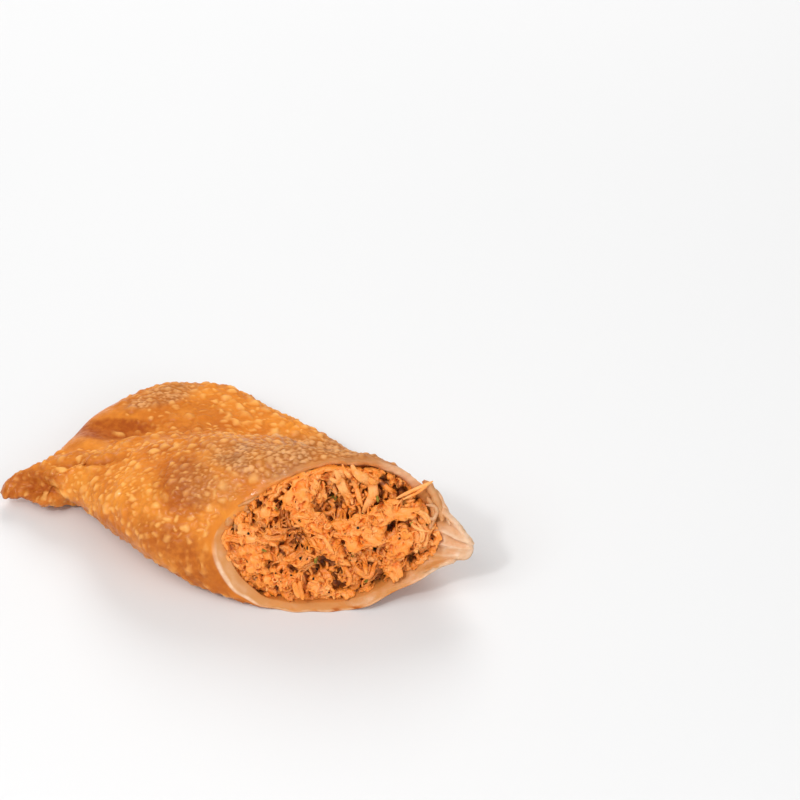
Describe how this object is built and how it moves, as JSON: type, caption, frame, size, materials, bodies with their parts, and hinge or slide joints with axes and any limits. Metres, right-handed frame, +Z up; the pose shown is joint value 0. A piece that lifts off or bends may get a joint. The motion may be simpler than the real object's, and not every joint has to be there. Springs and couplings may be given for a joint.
{
  "type": "chicken empanada half",
  "caption": "Half of a triangular fried empanada, cut across: blistered golden pastry pocket with a pinched tail, packed with shredded chicken that shows at the cut.",
  "frame": {"origin": "centre of the bounding box at the level that the half rests on", "axes": "+Z up, -Y the way the cut mouth faces, +X from the pinched tail towards the sealed corner of the cut"},
  "size_m": [0.1372, 0.0932, 0.039],
  "materials": {
    "fried_pastry": "satin, blistered",
    "sauced_chicken": "moist, matt to satin"
  },
  "bodies": {
    "root": {"pastry": "fried_pastry", "chicken_filling": "sauced_chicken"}
  },
  "joints": []
}
